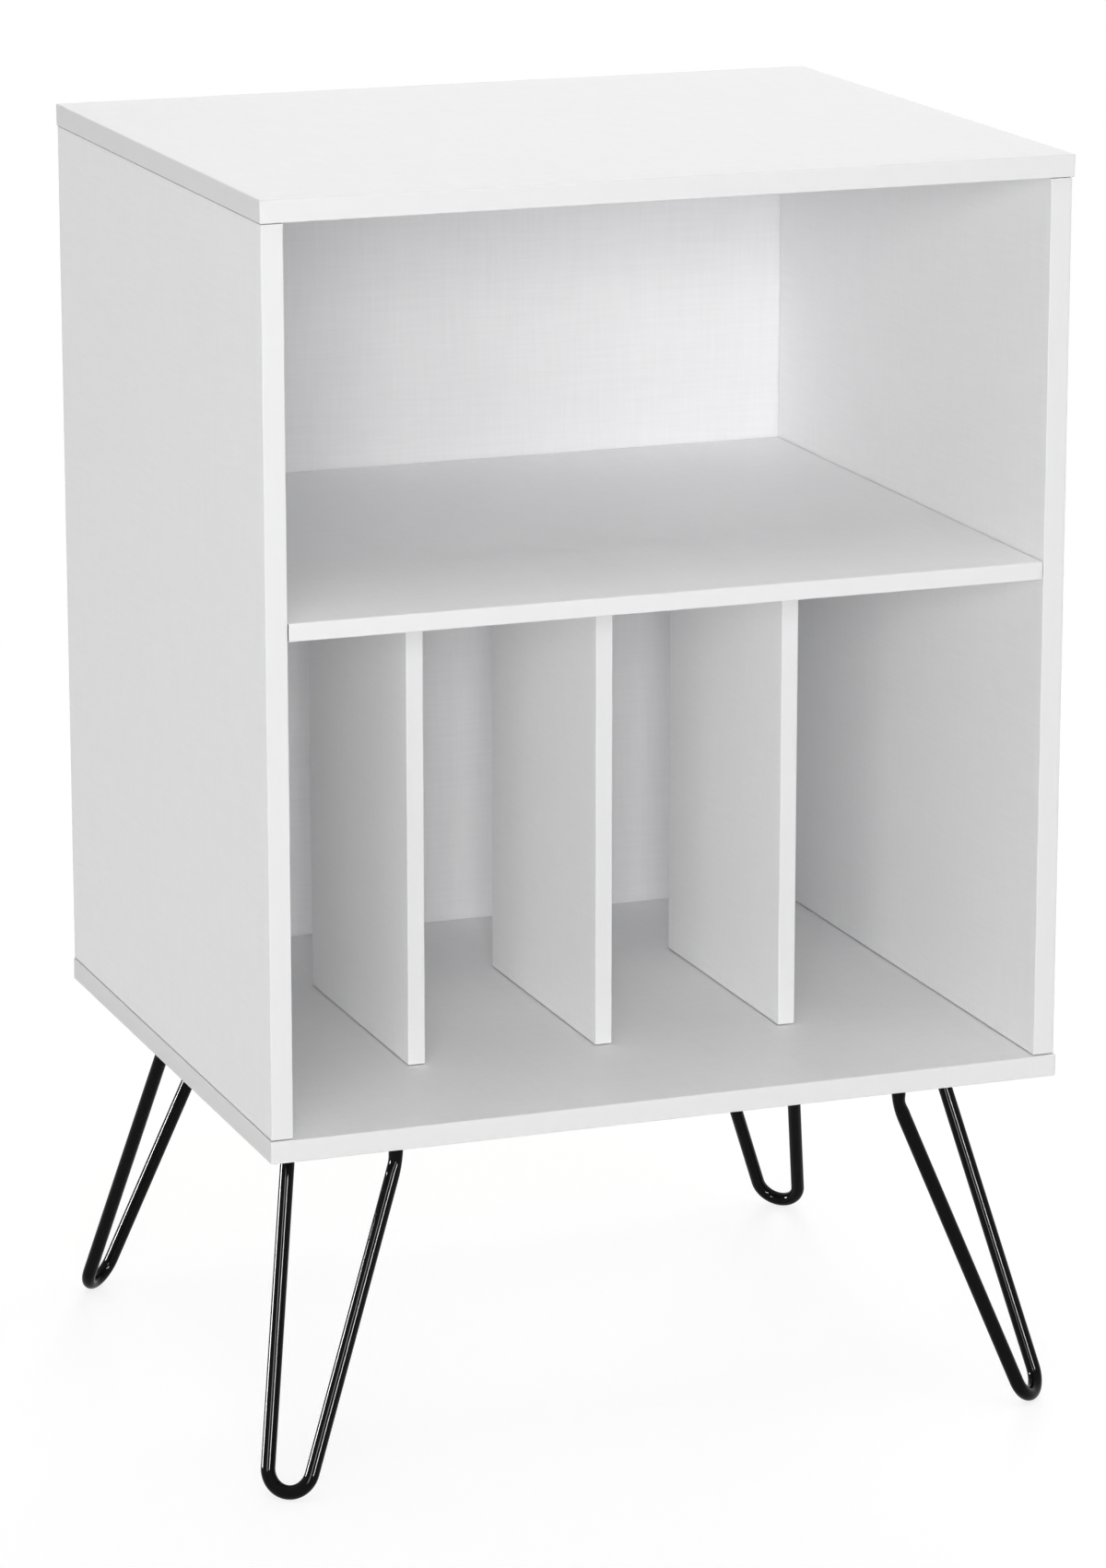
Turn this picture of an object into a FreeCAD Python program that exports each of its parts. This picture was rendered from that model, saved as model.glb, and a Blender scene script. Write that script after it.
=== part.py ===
import FreeCAD, Part
import math
import os

# Record-player stand: a laminated cabinet with an open compartment over four upright record slots, on four
# hairpin legs bent from round bar.
# Millimetres, +Z up, front towards -Y, origin on the floor under the middle.

# Cabinet
CABINET_WIDTH = 597.0      # top and bottom panels, side to side
CABINET_DEPTH = 495.0      # front edge to the rear face of the back panel
SIDE_HEIGHT = 640.0        # side panels, which stand between the bottom and top panels
SLOT_HEIGHT = 353.0        # clear height of the record slots
BOARD_THICKNESS = 16.0     # top, bottom and side panels
SHELF_THICKNESS = 13.0
DIVIDER_THICKNESS = 13.0
DIVIDER_DEPTH = 220.0      # dividers stand midway between front and back
BACK_THICKNESS = 3.0
SIDE_OVERHANG = 1.0        # top and bottom panels past the side panels' outer faces
FRONT_OVERHANG = 2.0       # top and bottom panels past the side panels' front edges
BACK_MARGIN = 2.0          # back panel's edge inside the cabinet's outline
EDGE_RADIUS = 0.8          # eased edges where a board is banded

# Hairpin legs
LEG_HEIGHT = 250.0         # floor to the underside of the bottom panel
LEG_INSET_X = 75.5         # middle of the rod's two ends, in from the bottom panel's side edge
LEG_INSET_Y = 72.0         # and in from its front or rear edge
ROD_DIAMETER = 10.4        # 10 mm bar under its coat
ROD_SPACING = 85.0         # between the two ends of the rod, at the plate
ROD_SPLAY = 92.0           # toe further out than the plate, towards the corner
TOE_RADIUS = 17.5          # centre line of the bend on the floor
KNEE_RADIUS = 60.0         # centre line of the bend under the plate
KNEE_DROP = 21.6           # underside of the bottom panel to where the knee's two straights would meet
WELD_SIZE = 3.0            # bead around each end of the rod

# Leg plates
PLATE_THICKNESS = 3.0
PLATE_MARGIN = 5.0         # plate around a weld or a screw head
PLATE_CORNER_RADIUS = 8.0
PLATE_SCREW_SPACING = 40.0         # pair between the rod's ends
PLATE_INNER_SCREW_SPACING = 22.0   # pair nearer the middle of the cabinet
PLATE_SCREW_ROWS = 34.0            # from one pair to the other

# Screws: head, shank and point
LEG_SCREW_LENGTH = 15.0            # under the head
LEG_SCREW_DIAMETER = 4.5
LEG_SCREW_HEAD_DIAMETER = 9.0
LEG_SCREW_HEAD_HEIGHT = 2.8
LEG_SCREW_HEAD_ROUND = 1.6
SIDE_SCREW_LENGTH = 50.0           # over all, flush head
SIDE_SCREW_SHANK_DIAMETER = 7.0    # in the bottom panel
SIDE_SCREW_CORE_DIAMETER = 5.0     # in the side panel's lower edge
SIDE_SCREW_HEAD_DIAMETER = 10.0
SIDE_SCREW_SOCKET = 4.0            # six-sided, across flats
SIDE_SCREW_SOCKET_DEPTH = 2.6
DIVIDER_SCREW_LENGTH = 40.0        # over all, flush head
DIVIDER_SCREW_DIAMETER = 4.0
DIVIDER_SCREW_HEAD_DIAMETER = 7.6
SCREW_POINT = 4.0                  # length of the point
RIM_HEIGHT = 0.6                   # straight rim of a flush head
CROSS_WIDTH = 1.2                  # cross recess in a screw head or cam
CROSS_DEPTH = 1.5
CROSS_LENGTH_SHARE = 0.55          # of the head's diameter

# Dowels
DOWEL_DIAMETER = 8.0               # side panels to the top and bottom panels
DOWEL_LENGTH = 30.0
DOWEL_IN_PANEL = 11.0
SLIM_DOWEL_DIAMETER = 6.0          # shelf to side panels, dividers to shelf
SLIM_DOWEL_LENGTH = 25.0
SLIM_DOWEL_IN_FACE = 8.0
DOWEL_CHAMFER = 0.8

# Cam fittings
CAM_SETBACK = 24.0                 # cam's axis from the board's end
TOP_CAM_DIAMETER = 15.0
SHELF_CAM_DIAMETER = 12.0
CAM_FLOOR = 0.6                    # cam under the bolt head's pocket
BOLT_THREAD_DIAMETER = 7.0
BOLT_THREAD_LENGTH = 11.0
BOLT_SHANK_DIAMETER = 6.0
BOLT_NECK_DIAMETER = 4.0
BOLT_NECK_ROOM = 1.0               # neck before it enters the cam
BOLT_HEAD_DIAMETER = 6.4
BOLT_HEAD_LENGTH = 3.0

# Nails
NAIL_LENGTH = 20.0                 # under the head
NAIL_DIAMETER = 1.6
NAIL_HEAD_DIAMETER = 5.0
NAIL_HEAD_HEIGHT = 0.7
NAIL_POINT = 2.5

# Clearances
DRIVE_CLEARANCE = 0.1              # around a dowel, screw, nail or bolt in its hole
CAM_CLEARANCE = 0.2                # around a cam in its bore, and a bolt head in its cam
END_ROOM = 1.0                     # hole beyond the end of what goes in it
OVERRUN = 2.0                      # cutters past the face they cut

# Places along a board, as shares of its length from the front or the left
TOP_DOWEL_SHARES = (0.12, 0.65)
TOP_CAM_SHARES = (0.44, 0.88)
BOTTOM_DOWEL_SHARES = (0.25, 0.75)
SIDE_SCREW_SHARES = (0.06, 0.5, 0.94)
SHELF_CAM_SHARES = (0.16, 0.84)
SHELF_DOWEL_SHARES = (0.32, 0.68)
DIVIDER_FIXING_SHARES = (0.2, 0.8)
PANEL_NAIL_SHARES = (0.06, 0.28, 0.5, 0.72, 0.94)
SIDE_NAIL_SHARES = (0.15, 0.38, 0.75)
SHELF_NAIL_SHARES = (0.2, 0.5, 0.8)

# Directions and names
ACROSS = FreeCAD.Vector(1, 0, 0)
REARWARD = FreeCAD.Vector(0, 1, 0)
UP = FreeCAD.Vector(0, 0, 1)
SIDES = {"left": -1, "right": 1}
ENDS = {"front": -1, "rear": 1}
DIVIDER_NAMES = ("left", "centre", "right")

# Levels and planes that the boards share
panel_front = -CABINET_DEPTH / 2
board_rear = CABINET_DEPTH / 2 - BACK_THICKNESS
side_front = panel_front + FRONT_OVERHANG
side_depth = board_rear - side_front
side_outer = CABINET_WIDTH / 2 - SIDE_OVERHANG
side_inner = side_outer - BOARD_THICKNESS
side_middle = (side_outer + side_inner) / 2
bottom_top = LEG_HEIGHT + BOARD_THICKNESS
shelf_bottom = bottom_top + SLOT_HEIGHT
shelf_middle = shelf_bottom + SHELF_THICKNESS / 2
side_top = bottom_top + SIDE_HEIGHT
cabinet_top = side_top + BOARD_THICKNESS
divider_front = (side_front + board_rear - DIVIDER_DEPTH) / 2
slot_count = len(DIVIDER_NAMES) + 1
slot_width = (2 * side_inner - len(DIVIDER_NAMES) * DIVIDER_THICKNESS) / slot_count
divider_pitch = slot_width + DIVIDER_THICKNESS
first_divider = -side_inner + slot_width + DIVIDER_THICKNESS / 2
divider_middles = {name: first_divider + step * divider_pitch for step, name in enumerate(DIVIDER_NAMES)}


def block(low, high):
    """A plain board between two opposite corners."""
    size = high - low
    return Part.makeBox(size.x, size.y, size.z, low)


def runs_along(edge, axis):
    """Whether a straight edge runs along an axis."""
    return abs(edge.tangentAt(edge.FirstParameter).dot(axis)) > 0.5


def eased(board, chosen):
    """The board with its chosen edges rounded."""
    return board.makeFillet(EDGE_RADIUS, [edge for edge in board.Edges if chosen(edge)])


def turned(outline):
    """A solid turned about +Z from its (radius, height) points, the first and last on the axis."""
    points = [FreeCAD.Vector(radius, 0, height) for radius, height in outline]
    return Part.Face(Part.makePolygon(points + points[:1])).revolve(FreeCAD.Vector(), UP, 360)


def placed(shape, at, into, facing=None):
    """A copy of a fitting drawn along +Z, set at a point, running into a board, its +X turned to facing."""
    if facing is None:
        turn = FreeCAD.Rotation(UP, into)
    else:
        turn = FreeCAD.Rotation(facing, into.cross(facing), into, "ZXY")
    copy = shape.copy()
    copy.Placement = FreeCAD.Placement(at, turn)
    return copy


def hole(diameter, depth):
    """A cutter along +Z for a hole around a shank of a diameter, from the face at zero height."""
    return Part.makeCylinder(diameter / 2 + DRIVE_CLEARANCE, depth + OVERRUN, FreeCAD.Vector(0, 0, -OVERRUN))


def cross_recess(head_diameter, face_height, towards):
    """A cutter for a cross recess in a face at a height on +Z, which the driver meets from one way."""
    arm = head_diameter * CROSS_LENGTH_SHARE / 2
    half = CROSS_WIDTH / 2
    low, high = sorted((face_height + towards * OVERRUN, face_height - towards * CROSS_DEPTH))
    along = block(FreeCAD.Vector(-arm, -half, low), FreeCAD.Vector(arm, half, high))
    across = block(FreeCAD.Vector(-half, -arm, low), FreeCAD.Vector(half, arm, high))
    return along.fuse(across)


# Fasteners, each drawn along +Z with zero height at the face where it goes in


def dowel(diameter, length, above):
    """A dowel with chamfered ends, part of its length above the joint and the rest below it."""
    radius = diameter / 2
    tip = radius - DOWEL_CHAMFER
    top, bottom = above, above - length
    return turned([
        (0, bottom), (tip, bottom), (radius, bottom + DOWEL_CHAMFER),
        (radius, top - DOWEL_CHAMFER), (tip, top), (0, top),
    ])


def leg_screw():
    """A round-headed wood screw, its head below zero height."""
    head = Part.makeCylinder(
        LEG_SCREW_HEAD_DIAMETER / 2, LEG_SCREW_HEAD_HEIGHT, FreeCAD.Vector(0, 0, -LEG_SCREW_HEAD_HEIGHT))
    lower_rim = min(head.Edges, key=lambda edge: edge.CenterOfMass.z)
    head = head.makeFillet(LEG_SCREW_HEAD_ROUND, [lower_rim])
    radius = LEG_SCREW_DIAMETER / 2
    shank = turned([
        (0, -LEG_SCREW_HEAD_HEIGHT / 2), (radius, -LEG_SCREW_HEAD_HEIGHT / 2),
        (radius, LEG_SCREW_LENGTH - SCREW_POINT), (0, LEG_SCREW_LENGTH),
    ])
    return head.fuse(shank).cut(cross_recess(LEG_SCREW_HEAD_DIAMETER, -LEG_SCREW_HEAD_HEIGHT, -1))


def flush_head(head_diameter, shank_diameter):
    """The (radius, height) points of a flush screw head, from its face to its shank."""
    head, shank = head_diameter / 2, shank_diameter / 2
    return [(0, 0), (head, 0), (head, RIM_HEIGHT), (shank, RIM_HEIGHT + head - shank)]


def side_screw():
    """A stepped connecting screw with a flush head and a six-sided socket."""
    shank, core = SIDE_SCREW_SHANK_DIAMETER / 2, SIDE_SCREW_CORE_DIAMETER / 2
    body = turned(flush_head(SIDE_SCREW_HEAD_DIAMETER, SIDE_SCREW_SHANK_DIAMETER) + [
        (shank, BOARD_THICKNESS), (core, BOARD_THICKNESS),
        (core, SIDE_SCREW_LENGTH - SCREW_POINT), (0, SIDE_SCREW_LENGTH),
    ])
    corner = SIDE_SCREW_SOCKET / math.sqrt(3)
    turns = [math.tau * step / 6 for step in range(7)]
    ring = [FreeCAD.Vector(corner * math.cos(turn), corner * math.sin(turn), -OVERRUN) for turn in turns]
    socket = Part.Face(Part.makePolygon(ring)).extrude(UP * (OVERRUN + SIDE_SCREW_SOCKET_DEPTH))
    return body.cut(socket)


def side_screw_hole():
    """A cutter for a side screw through the bottom panel and into the side panel's lower edge."""
    head = SIDE_SCREW_HEAD_DIAMETER / 2 + DRIVE_CLEARANCE
    shank = SIDE_SCREW_SHANK_DIAMETER / 2 + DRIVE_CLEARANCE
    core = SIDE_SCREW_CORE_DIAMETER / 2 + DRIVE_CLEARANCE
    end = SIDE_SCREW_LENGTH + END_ROOM
    return turned([
        (0, -OVERRUN), (head, -OVERRUN), (head, RIM_HEIGHT), (shank, RIM_HEIGHT + head - shank),
        (shank, BOARD_THICKNESS), (core, BOARD_THICKNESS), (core, end), (0, end),
    ])


def divider_screw():
    """A slim wood screw with a flush head and a cross recess."""
    radius = DIVIDER_SCREW_DIAMETER / 2
    body = turned(flush_head(DIVIDER_SCREW_HEAD_DIAMETER, DIVIDER_SCREW_DIAMETER) + [
        (radius, DIVIDER_SCREW_LENGTH - SCREW_POINT), (0, DIVIDER_SCREW_LENGTH),
    ])
    return body.cut(cross_recess(DIVIDER_SCREW_HEAD_DIAMETER, 0, -1))


def divider_screw_hole():
    """A cutter for a divider screw through the bottom panel and into the divider's lower edge."""
    head = DIVIDER_SCREW_HEAD_DIAMETER / 2 + DRIVE_CLEARANCE
    shank = DIVIDER_SCREW_DIAMETER / 2 + DRIVE_CLEARANCE
    end = DIVIDER_SCREW_LENGTH + END_ROOM
    return turned([
        (0, -OVERRUN), (head, -OVERRUN), (head, RIM_HEIGHT), (shank, RIM_HEIGHT + head - shank),
        (shank, end), (0, end),
    ])


def nail():
    """A flat-headed nail, its head below zero height."""
    head, radius = NAIL_HEAD_DIAMETER / 2, NAIL_DIAMETER / 2
    return turned([
        (0, -NAIL_HEAD_HEIGHT), (head, -NAIL_HEAD_HEIGHT), (head, 0), (radius, 0),
        (radius, NAIL_LENGTH - NAIL_POINT), (0, NAIL_LENGTH),
    ])


def cam_bolt(cam_diameter):
    """A bolt that screws into one board below zero height and is caught by a cam in the other."""
    thread, shank = BOLT_THREAD_DIAMETER / 2, BOLT_SHANK_DIAMETER / 2
    neck, head = BOLT_NECK_DIAMETER / 2, BOLT_HEAD_DIAMETER / 2
    tip = -BOLT_THREAD_LENGTH
    neck_start = CAM_SETBACK - cam_diameter / 2 - BOLT_NECK_ROOM
    head_start = CAM_SETBACK - BOLT_HEAD_LENGTH / 2
    head_end = CAM_SETBACK + BOLT_HEAD_LENGTH / 2
    return turned([
        (0, tip), (neck, tip), (thread, tip + thread - neck), (thread, 0),
        (shank, 0), (shank, neck_start), (neck, neck_start),
        (neck, head_start), (head, head_start), (head, head_end), (0, head_end),
    ])


def cam_depth(board_thickness):
    """How deep a cam reaches into its board, to hold a bolt that runs along the board's middle."""
    return board_thickness / 2 + BOLT_HEAD_DIAMETER / 2 + CAM_CLEARANCE + CAM_FLOOR


def cam_bore(board_thickness, cam_diameter, room):
    """The round of a cam, with room around it, its open face towards +X on the board's face."""
    depth = cam_depth(board_thickness) + room
    start = FreeCAD.Vector(board_thickness / 2 - depth, 0, CAM_SETBACK)
    return Part.makeCylinder(cam_diameter / 2 + room, depth, start, ACROSS)


def cam_lock(board_thickness, cam_diameter):
    """A round cam with a pocket for the bolt's head, a passage for its neck and a cross recess."""
    neck = BOLT_NECK_DIAMETER / 2 + CAM_CLEARANCE
    head = BOLT_HEAD_DIAMETER / 2 + CAM_CLEARANCE
    passage_start = FreeCAD.Vector(0, 0, CAM_SETBACK - cam_diameter / 2 - OVERRUN)
    passage = Part.makeCylinder(neck, cam_diameter / 2 + OVERRUN, passage_start)
    pocket_length = BOLT_HEAD_LENGTH + 2 * CAM_CLEARANCE
    pocket = Part.makeCylinder(head, pocket_length, FreeCAD.Vector(0, 0, CAM_SETBACK - pocket_length / 2))
    recess = cross_recess(cam_diameter, board_thickness / 2, 1)
    recess = placed(recess, FreeCAD.Vector(0, 0, CAM_SETBACK), ACROSS)
    return cam_bore(board_thickness, cam_diameter, 0).cut([passage.fuse(pocket), recess])


# Boards


def panel(bottom):
    """The top or bottom panel, banded and eased all round but at the rear."""
    low = FreeCAD.Vector(-CABINET_WIDTH / 2, panel_front, bottom)
    high = FreeCAD.Vector(CABINET_WIDTH / 2, board_rear, bottom + BOARD_THICKNESS)
    return eased(block(low, high), lambda edge: edge.CenterOfMass.y < board_rear - EDGE_RADIUS)


def at_front(edge):
    """Whether an edge lies on the side panels' front plane."""
    return edge.CenterOfMass.y < side_front + EDGE_RADIUS


def side_panel(side):
    """A side panel, eased along its front edge."""
    inner, outer = sorted((side * side_inner, side * side_outer))
    low = FreeCAD.Vector(inner, side_front, bottom_top)
    high = FreeCAD.Vector(outer, board_rear, side_top)
    return eased(block(low, high), lambda edge: at_front(edge) and runs_along(edge, UP))


def shelf():
    """The fixed shelf between the side panels, eased along its front edge."""
    low = FreeCAD.Vector(-side_inner, side_front, shelf_bottom)
    high = FreeCAD.Vector(side_inner, board_rear, shelf_bottom + SHELF_THICKNESS)
    return eased(block(low, high), lambda edge: at_front(edge) and runs_along(edge, ACROSS))


def divider(middle):
    """An upright divider, eased along its front and rear edges."""
    low = FreeCAD.Vector(middle - DIVIDER_THICKNESS / 2, divider_front, bottom_top)
    high = FreeCAD.Vector(middle + DIVIDER_THICKNESS / 2, divider_front + DIVIDER_DEPTH, shelf_bottom)
    return eased(block(low, high), lambda edge: runs_along(edge, UP))


def back_panel():
    """The thin back panel, nailed over the rear edges of the boards."""
    half = CABINET_WIDTH / 2 - BACK_MARGIN
    low = FreeCAD.Vector(-half, board_rear, LEG_HEIGHT + BACK_MARGIN)
    return block(low, FreeCAD.Vector(half, board_rear + BACK_THICKNESS, cabinet_top - BACK_MARGIN))


# Hairpin legs, drawn with +X towards the cabinet's corner, +Y across and the floor at zero height


def hairpin_path():
    """The centre line of a hairpin rod: down from the plate, round the toe and back up."""
    half = ROD_SPACING / 2
    knee_height = LEG_HEIGHT - KNEE_DROP
    slant = FreeCAD.Vector(ROD_SPLAY, 0, ROD_DIAMETER / 2 - knee_height)
    reach = slant.Length - TOE_RADIUS
    down = FreeCAD.Vector(slant).normalize()
    lean_in = math.acos(TOE_RADIUS / math.hypot(half, reach)) - math.atan2(reach, half)
    toe_centre = FreeCAD.Vector(0, 0, knee_height) + down * reach
    toe = toe_centre + down * TOE_RADIUS

    def one_rod(side):
        """The corners of one straight: rod end, knee's start, middle and end, and toe's start."""
        knee = FreeCAD.Vector(0, side * half, knee_height)
        toe_start = toe_centre + (REARWARD * side * math.cos(lean_in) + down * math.sin(lean_in)) * TOE_RADIUS
        along = (toe_start - knee).normalize()
        turn = along.getAngle(-UP)
        tangent = KNEE_RADIUS * math.tan(turn / 2)
        bulge = KNEE_RADIUS / math.cos(turn / 2) - KNEE_RADIUS
        middle = knee + (UP + along).normalize() * bulge
        end = FreeCAD.Vector(0, side * half, LEG_HEIGHT - PLATE_THICKNESS)
        return end, knee + UP * tangent, middle, knee + along * tangent, toe_start

    end_a, high_a, mid_a, low_a, toe_a = one_rod(1)
    end_b, high_b, mid_b, low_b, toe_b = one_rod(-1)
    runs = [
        Part.LineSegment(end_a, high_a), Part.Arc(high_a, mid_a, low_a), Part.LineSegment(low_a, toe_a),
        Part.Arc(toe_a, toe, toe_b),
        Part.LineSegment(toe_b, low_b), Part.Arc(low_b, mid_b, high_b), Part.LineSegment(high_b, end_b),
    ]
    return Part.Wire([run.toShape() for run in runs])


def hairpin_rod():
    """A round bar swept along the hairpin, with a weld bead at each end."""
    path = hairpin_path()
    radius = ROD_DIAMETER / 2
    top = LEG_HEIGHT - PLATE_THICKNESS
    section = Part.Circle(FreeCAD.Vector(0, ROD_SPACING / 2, top), UP, radius)
    rod = path.makePipeShell([Part.Wire(section.toShape())], True, False)
    for side in (1, -1):
        start = FreeCAD.Vector(0, side * ROD_SPACING / 2, top - 2 * WELD_SIZE)
        rod = rod.fuse(Part.makeCone(radius - WELD_SIZE, radius + WELD_SIZE, 2 * WELD_SIZE, start))
    return rod.removeSplitter()


def plate_screw_places():
    """Where a plate's four screws go, in the leg's own frame, on the plate's lower face."""
    height = LEG_HEIGHT - PLATE_THICKNESS
    outer = [FreeCAD.Vector(0, side * PLATE_SCREW_SPACING / 2, height) for side in (1, -1)]
    inner_half = PLATE_INNER_SCREW_SPACING / 2
    return outer + [FreeCAD.Vector(-PLATE_SCREW_ROWS, side * inner_half, height) for side in (1, -1)]


def leg_plate():
    """A steel plate, wide under the rod's ends and narrow towards the middle of the cabinet."""
    weld = ROD_DIAMETER / 2 + WELD_SIZE + PLATE_MARGIN
    head = LEG_SCREW_HEAD_DIAMETER / 2 + PLATE_MARGIN
    wide, narrow = ROD_SPACING / 2 + weld, PLATE_INNER_SCREW_SPACING / 2 + head
    inner = -PLATE_SCREW_ROWS - head
    corners = [(weld, -wide), (weld, wide), (-weld, wide), (inner, narrow), (inner, -narrow), (-weld, -wide)]
    points = [FreeCAD.Vector(x, y, LEG_HEIGHT - PLATE_THICKNESS) for x, y in corners]
    plate = Part.Face(Part.makePolygon(points + points[:1])).extrude(UP * PLATE_THICKNESS)
    plate = plate.makeFillet(PLATE_CORNER_RADIUS, [edge for edge in plate.Edges if runs_along(edge, UP)])
    drill = hole(LEG_SCREW_DIAMETER, PLATE_THICKNESS + OVERRUN)
    return plate.cut([placed(drill, place, UP) for place in plate_screw_places()])


def at_corner(shape, side, end):
    """A copy of a leg's piece, moved from the leg's own frame to a corner of the cabinet."""
    x = side * (CABINET_WIDTH / 2 - LEG_INSET_X)
    y = end * (CABINET_DEPTH / 2 - LEG_INSET_Y)
    turn = FreeCAD.Rotation(UP, math.degrees(math.atan2(end, side)))
    copy = shape.copy()
    copy.Placement = FreeCAD.Placement(FreeCAD.Vector(x, y, 0), turn).multiply(copy.Placement)
    return copy


# Assembly: the boards, and the fasteners with the holes that they need

boards = {
    "top_panel": panel(side_top),
    "bottom_panel": panel(LEG_HEIGHT),
    "shelf": shelf(),
    "back_panel": back_panel(),
}
boards.update({name + "_side_panel": side_panel(side) for name, side in SIDES.items()})
boards.update({name + "_divider": divider(middle) for name, middle in divider_middles.items()})
cutters = {name: [] for name in boards}
pieces = {}


def fit(node, fastener, cutter, board_names):
    """Adds a fastener to its node, and its hole to each board that it enters."""
    pieces.setdefault(node, []).append(fastener)
    for name in board_names:
        cutters[name].append(cutter)


def along(start, length, shares):
    """Places along a board, from shares of its length."""
    return [start + length * share for share in shares]


def fit_dowel(node, diameter, length, above, at, into, board_names):
    """A dowel across a joint, with room at both ends of its holes."""
    drill = dowel(diameter + 2 * DRIVE_CLEARANCE, length + 2 * END_ROOM, above + END_ROOM)
    fit(node, placed(dowel(diameter, length, above), at, into), placed(drill, at, into), board_names)


def fit_cam(prefix, thickness, diameter, at, into, facing, bolt_board, cam_board):
    """A cam lock in one board, caught on a cam bolt that is screwed into the other."""
    fit(prefix + "_cam_bolts", placed(cam_bolt(diameter), at, into, facing),
        placed(hole(BOLT_THREAD_DIAMETER, BOLT_THREAD_LENGTH + END_ROOM), at, -into), [bolt_board])
    passage = hole(BOLT_SHANK_DIAMETER, CAM_SETBACK)
    bore = cam_bore(thickness, diameter, CAM_CLEARANCE)
    fit(prefix + "_cam_locks", placed(cam_lock(thickness, diameter), at, into, facing),
        placed(passage.fuse(bore), at, into, facing), [cam_board])


def fit_side_joints(name, side):
    """Fixings of one side panel to the top panel, the bottom panel and the shelf."""
    board, x = name + "_side_panel", side * side_middle
    dowel_in_side = DOWEL_LENGTH - DOWEL_IN_PANEL
    for y in along(side_front, side_depth, TOP_DOWEL_SHARES):
        fit_dowel("top_dowels", DOWEL_DIAMETER, DOWEL_LENGTH, DOWEL_IN_PANEL,
                  FreeCAD.Vector(x, y, side_top), UP, [board, "top_panel"])
    for y in along(side_front, side_depth, TOP_CAM_SHARES):
        fit_cam("top", BOARD_THICKNESS, TOP_CAM_DIAMETER,
                FreeCAD.Vector(x, y, side_top), -UP, ACROSS * -side, "top_panel", board)
    for y in along(side_front, side_depth, BOTTOM_DOWEL_SHARES):
        fit_dowel("bottom_dowels", DOWEL_DIAMETER, DOWEL_LENGTH, dowel_in_side,
                  FreeCAD.Vector(x, y, bottom_top), UP, [board, "bottom_panel"])
    for y in along(side_front, side_depth, SIDE_SCREW_SHARES):
        at = FreeCAD.Vector(x, y, LEG_HEIGHT)
        fit("side_screws", placed(side_screw(), at, UP), placed(side_screw_hole(), at, UP),
            [board, "bottom_panel"])
    joint, inward = side * side_inner, ACROSS * -side
    slim_in_shelf = SLIM_DOWEL_LENGTH - SLIM_DOWEL_IN_FACE
    for y in along(side_front, side_depth, SHELF_DOWEL_SHARES):
        fit_dowel("shelf_dowels", SLIM_DOWEL_DIAMETER, SLIM_DOWEL_LENGTH, slim_in_shelf,
                  FreeCAD.Vector(joint, y, shelf_middle), inward, [board, "shelf"])
    for y in along(side_front, side_depth, SHELF_CAM_SHARES):
        fit_cam("shelf", SHELF_THICKNESS, SHELF_CAM_DIAMETER,
                FreeCAD.Vector(joint, y, shelf_middle), inward, -UP, board, "shelf")


def fit_divider(name, middle):
    """Fixings of one divider: dowels up into the shelf and screws up through the bottom panel."""
    board = name + "_divider"
    for y in along(divider_front, DIVIDER_DEPTH, DIVIDER_FIXING_SHARES):
        fit_dowel("divider_dowels", SLIM_DOWEL_DIAMETER, SLIM_DOWEL_LENGTH, SLIM_DOWEL_IN_FACE,
                  FreeCAD.Vector(middle, y, shelf_bottom), UP, [board, "shelf"])
        at = FreeCAD.Vector(middle, y, LEG_HEIGHT)
        fit("divider_screws", placed(divider_screw(), at, UP), placed(divider_screw_hole(), at, UP),
            [board, "bottom_panel"])


def fit_nail(x, z, board):
    """A nail through the back panel into the rear edge of a board."""
    at = FreeCAD.Vector(x, board_rear + BACK_THICKNESS, z)
    drill = hole(NAIL_DIAMETER, NAIL_LENGTH + END_ROOM)
    fit("back_nails", placed(nail(), at, -REARWARD), placed(drill, at, -REARWARD), ["back_panel", board])


def fit_back():
    """Nails around the back panel and along the shelf."""
    for x in along(-side_outer, 2 * side_outer, PANEL_NAIL_SHARES):
        fit_nail(x, side_top + BOARD_THICKNESS / 2, "top_panel")
        fit_nail(x, LEG_HEIGHT + BOARD_THICKNESS / 2, "bottom_panel")
    for name, side in SIDES.items():
        for z in along(bottom_top, SIDE_HEIGHT, SIDE_NAIL_SHARES):
            fit_nail(side * side_middle, z, name + "_side_panel")
    for x in along(-side_inner, 2 * side_inner, SHELF_NAIL_SHARES):
        fit_nail(x, shelf_middle, "shelf")


def fit_leg(name, side, end):
    """One hairpin leg: its rod, its plate, and the screws up into the bottom panel."""
    pieces[name + "_leg_rod"] = [at_corner(hairpin_rod(), side, end)]
    pieces[name + "_leg_plate"] = [at_corner(leg_plate(), side, end)]
    drill = hole(LEG_SCREW_DIAMETER, LEG_SCREW_LENGTH + END_ROOM)
    for place in plate_screw_places():
        fit("leg_screws", at_corner(placed(leg_screw(), place, UP), side, end),
            at_corner(placed(drill, place, UP), side, end), ["bottom_panel"])


for side_name, side_sign in SIDES.items():
    fit_side_joints(side_name, side_sign)
    for end_name, end_sign in ENDS.items():
        fit_leg(end_name + "_" + side_name, side_sign, end_sign)
for divider_name, divider_middle in divider_middles.items():
    fit_divider(divider_name, divider_middle)
fit_back()
for board_name, board_shape in boards.items():
    pieces[board_name] = [board_shape.cut(cutters[board_name])]

# One file for each node, a group of like fasteners in one
os.makedirs("parts", exist_ok=True)
for node_name, solids in pieces.items():
    shape = solids[0] if len(solids) == 1 else Part.makeCompound(solids)
    shape.exportStep("parts/" + node_name + ".step")
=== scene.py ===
import math

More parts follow.
